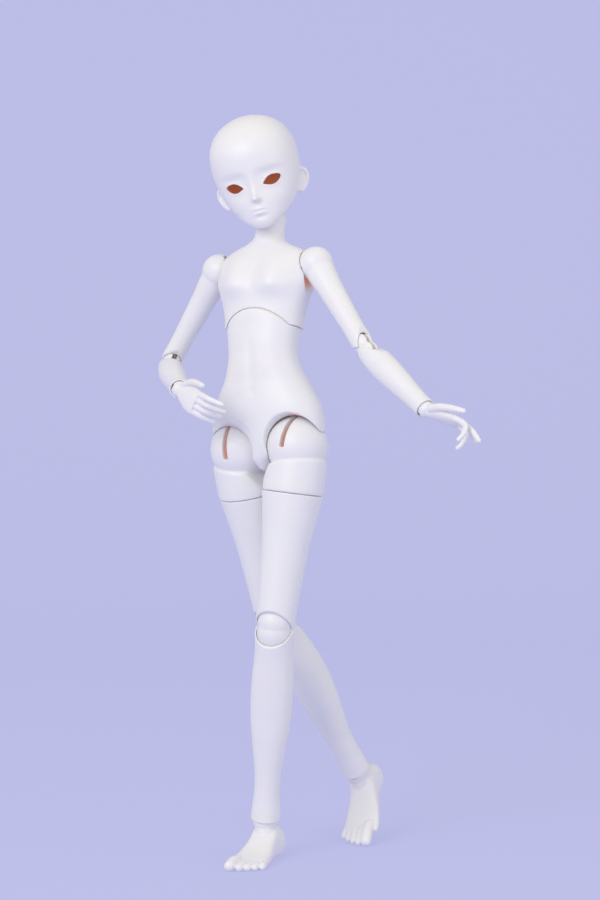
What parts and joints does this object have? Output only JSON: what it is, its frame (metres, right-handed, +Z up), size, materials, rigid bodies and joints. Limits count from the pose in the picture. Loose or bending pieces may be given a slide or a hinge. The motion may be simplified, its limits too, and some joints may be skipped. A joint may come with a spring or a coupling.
{
  "type": "ball jointed doll",
  "caption": "Bald resin doll in a walking stance, strung on elastic, with ball joints at neck, waist, shoulders, elbows, wrists, hips, knees and ankles.",
  "frame": {"origin": "centre of the footprint, on the floor that the doll stands on", "axes": "+Z up; the doll walks towards -Y, with its left side at +X"},
  "size_m": [0.2442, 0.2574, 0.5808],
  "materials": {
    "resin": "smooth cast resin, satin",
    "hook_steel": "bent wire",
    "elastic": "round braided elastic",
    "magnet": "plated"
  },
  "bodies": {
    "pelvis": {"lower_torso": "resin", "left_pelvis_elastic": "elastic", "right_pelvis_elastic": "elastic"},
    "waist_link": {"torso_elastic": "elastic"},
    "chest": {"chest": "resin", "chest_arm_elastic": "elastic"},
    "neck_hook": {"neck_hook": "hook_steel"},
    "head": {"head": "resin", "head_cap": "resin", "left_head_magnet": "magnet", "right_head_magnet": "magnet", "left_cap_magnet": "magnet", "right_cap_magnet": "magnet"},
    "left_shoulder_link": {"left_shoulder_elastic": "elastic"},
    "left_arm_link": {"left_upper_arm_elastic": "elastic"},
    "left_upper_arm": {"left_upper_arm": "resin"},
    "left_elbow": {"left_elbow": "resin", "left_elbow_elastic": "elastic"},
    "left_forearm": {"left_forearm": "resin", "left_forearm_elastic": "elastic"},
    "left_wrist_hook": {"left_wrist_hook": "hook_steel"},
    "left_hand": {"left_hand": "resin"},
    "left_hip_link": {"left_hip_elastic": "elastic"},
    "left_upper_thigh": {"left_upper_thigh": "resin", "left_thigh_elastic": "elastic"},
    "left_lower_thigh": {"left_lower_thigh": "resin"},
    "left_knee": {"left_knee": "resin", "left_knee_elastic": "elastic"},
    "left_shin": {"left_shin": "resin", "left_shin_elastic": "elastic"},
    "left_ankle_hook": {"left_ankle_hook": "hook_steel"},
    "left_foot": {"left_foot": "resin"},
    "right_shoulder_link": {"right_shoulder_elastic": "elastic"},
    "right_arm_link": {"right_upper_arm_elastic": "elastic"},
    "right_upper_arm": {"right_upper_arm": "resin"},
    "right_elbow": {"right_elbow": "resin", "right_elbow_elastic": "elastic"},
    "right_forearm": {"right_forearm": "resin", "right_forearm_elastic": "elastic"},
    "right_wrist_hook": {"right_wrist_hook": "hook_steel"},
    "right_hand": {"right_hand": "resin"},
    "right_hip_link": {"right_hip_elastic": "elastic"},
    "right_upper_thigh": {"right_upper_thigh": "resin", "right_thigh_elastic": "elastic"},
    "right_lower_thigh": {"right_lower_thigh": "resin"},
    "right_knee": {"right_knee": "resin", "right_knee_elastic": "elastic"},
    "right_shin": {"right_shin": "resin", "right_shin_elastic": "elastic"},
    "right_ankle_hook": {"right_ankle_hook": "hook_steel"},
    "right_foot": {"right_foot": "resin"}
  },
  "joints": [
    {"name": "waist_lean", "type": "hinge", "parent": "pelvis", "child": "waist_link", "pos_m": [-0.03811, 0.00567, 0.40275], "axis": [0.8466, -0.5274, 0.0715], "range_deg": [-8, 8]},
    {"name": "waist_turn", "type": "hinge", "parent": "waist_link", "child": "chest", "pos_m": [-0.03811, 0.00567, 0.40275], "axis": [-0.0441, -0.2034, -0.9781], "range_deg": [-12, 15]},
    {"name": "neck_turn", "type": "hinge", "parent": "chest", "child": "neck_hook", "pos_m": [-0.03283, 0.02732, 0.4982], "axis": [0.0441, 0.2034, 0.9781], "range_deg": [-60, 40]},
    {"name": "neck_nod", "type": "hinge", "parent": "neck_hook", "child": "head", "pos_m": [-0.03283, 0.02732, 0.4982], "axis": [0.9851, -0.1716, -0.0088], "range_deg": [-18, 6]},
    {"name": "left_shoulder_swing", "type": "hinge", "parent": "chest", "child": "left_shoulder_link", "pos_m": [0.00227, -0.00259, 0.46399], "axis": [0.8774, -0.4761, 0.0594], "range_deg": [-100, 60]},
    {"name": "left_shoulder_raise", "type": "hinge", "parent": "left_shoulder_link", "child": "left_arm_link", "pos_m": [0.00227, -0.00259, 0.46399], "axis": [-0.4698, -0.8276, 0.3073], "range_deg": [-15, 55]},
    {"name": "left_shoulder_twist", "type": "hinge", "parent": "left_arm_link", "child": "left_upper_arm", "pos_m": [0.00227, -0.00259, 0.46399], "axis": [-0.4278, 0.5179, 0.7408], "range_deg": [-35, 35]},
    {"name": "left_elbow_upper", "type": "hinge", "parent": "left_upper_arm", "child": "left_elbow", "pos_m": [0.03734, -0.04506, 0.40324], "axis": [-0.7433, -0.6679, 0.0378], "range_deg": [-7, 50]},
    {"name": "left_elbow_lower", "type": "hinge", "parent": "left_elbow", "child": "left_forearm", "pos_m": [0.04174, -0.05028, 0.39738], "axis": [-0.7433, -0.6679, 0.0378], "range_deg": [-7, 50]},
    {"name": "left_wrist_turn", "type": "hinge", "parent": "left_forearm", "child": "left_wrist_hook", "pos_m": [0.0829, -0.09846, 0.35541], "axis": [0.5415, -0.6339, -0.5522], "range_deg": [-60, 60]},
    {"name": "left_wrist_bend", "type": "hinge", "parent": "left_wrist_hook", "child": "left_hand", "pos_m": [0.0829, -0.09846, 0.35541], "axis": [0.4222, 0.7731, -0.4734], "range_deg": [-30, 60]},
    {"name": "left_hip_spread", "type": "hinge", "parent": "pelvis", "child": "left_hip_link", "pos_m": [-0.01201, -0.01242, 0.32383], "axis": [0.5298, 0.8479, -0.0192], "range_deg": [-38, 2]},
    {"name": "left_hip_swing", "type": "hinge", "parent": "left_hip_link", "child": "left_upper_thigh", "pos_m": [-0.01201, -0.01242, 0.32383], "axis": [-0.8448, 0.5296, 0.0767], "range_deg": [-8, 62]},
    {"name": "left_thigh_turn", "type": "hinge", "parent": "left_upper_thigh", "child": "left_lower_thigh", "pos_m": [-0.01201, -0.01242, 0.32383], "axis": [0.1247, 0.0555, 0.9906], "range_deg": [-45, 45]},
    {"name": "left_knee_upper", "type": "hinge", "parent": "left_lower_thigh", "child": "left_knee", "pos_m": [-0.02897, -0.01997, 0.1891], "axis": [0.9497, -0.2958, -0.103], "range_deg": [-7, 25]},
    {"name": "left_knee_lower", "type": "hinge", "parent": "left_knee", "child": "left_shin", "pos_m": [-0.02967, -0.01943, 0.18115], "axis": [0.9497, -0.2958, -0.103], "range_deg": [-7, 28]},
    {"name": "left_ankle_turn", "type": "hinge", "parent": "left_shin", "child": "left_ankle_hook", "pos_m": [-0.03702, 0.00957, 0.03008], "axis": [-0.0477, 0.1883, -0.9809], "range_deg": [-30, 30]},
    {"name": "left_ankle_bend", "type": "hinge", "parent": "left_ankle_hook", "child": "left_foot", "pos_m": [-0.03702, 0.00957, 0.03008], "axis": [-0.9446, 0.3107, 0.1056], "range_deg": [-32, 31]},
    {"name": "right_shoulder_swing", "type": "hinge", "parent": "chest", "child": "right_shoulder_link", "pos_m": [-0.07319, 0.03835, 0.45888], "axis": [-0.8774, 0.4761, -0.0594], "range_deg": [-4, 100]},
    {"name": "right_shoulder_raise", "type": "hinge", "parent": "right_shoulder_link", "child": "right_arm_link", "pos_m": [-0.07319, 0.03835, 0.45888], "axis": [0.473, 0.8791, 0.0587], "range_deg": [-13, 50]},
    {"name": "right_shoulder_twist", "type": "hinge", "parent": "right_arm_link", "child": "right_upper_arm", "pos_m": [-0.07319, 0.03835, 0.45888], "axis": [-0.4627, 0.3046, -0.8326], "range_deg": [-4, 35]},
    {"name": "right_elbow_upper", "type": "hinge", "parent": "right_upper_arm", "child": "right_elbow", "pos_m": [-0.11113, 0.06332, 0.39061], "axis": [-0.8846, -0.2201, 0.4111], "range_deg": [-50, 6]},
    {"name": "right_elbow_lower", "type": "hinge", "parent": "right_elbow", "child": "right_forearm", "pos_m": [-0.11337, 0.05862, 0.38327], "axis": [-0.8846, -0.2201, 0.4111], "range_deg": [-50, 6]},
    {"name": "right_wrist_turn", "type": "hinge", "parent": "right_forearm", "child": "right_wrist_hook", "pos_m": [-0.10227, -0.01494, 0.36776], "axis": [-0.146, 0.968, 0.204], "range_deg": [-60, 60]},
    {"name": "right_wrist_bend", "type": "hinge", "parent": "right_wrist_hook", "child": "right_hand", "pos_m": [-0.10227, -0.01494, 0.36776], "axis": [0.4429, -0.1204, 0.8885], "range_deg": [-78, 7]},
    {"name": "right_hip_spread", "type": "hinge", "parent": "pelvis", "child": "right_hip_link", "pos_m": [-0.05603, 0.015, 0.32011], "axis": [0.5298, 0.8479, -0.0192], "range_deg": [-2, 35]},
    {"name": "right_hip_swing", "type": "hinge", "parent": "right_hip_link", "child": "right_upper_thigh", "pos_m": [-0.05603, 0.015, 0.32011], "axis": [-0.8454, 0.5262, -0.0924], "range_deg": [-18, 8]},
    {"name": "right_thigh_turn", "type": "hinge", "parent": "right_upper_thigh", "child": "right_lower_thigh", "pos_m": [-0.05603, 0.015, 0.32011], "axis": [0.1944, 0.1419, -0.9706], "range_deg": [-45, 45]},
    {"name": "right_knee_upper", "type": "hinge", "parent": "right_lower_thigh", "child": "right_knee", "pos_m": [-0.0296, 0.0343, 0.18811], "axis": [0.736, -0.6752, 0.0487], "range_deg": [-10, 45]},
    {"name": "right_knee_lower", "type": "hinge", "parent": "right_knee", "child": "right_shin", "pos_m": [-0.02714, 0.03646, 0.18081], "axis": [0.736, -0.6752, 0.0487], "range_deg": [-10, 45]},
    {"name": "right_ankle_turn", "type": "hinge", "parent": "right_shin", "child": "right_ankle_hook", "pos_m": [0.03616, 0.0963, 0.05381], "axis": [0.411, 0.3886, -0.8247], "range_deg": [-40, 15]},
    {"name": "right_ankle_bend", "type": "hinge", "parent": "right_ankle_hook", "child": "right_foot", "pos_m": [0.03616, 0.0963, 0.05381], "axis": [0.8808, -0.4024, 0.2494], "range_deg": [-37, 27]}
  ]
}
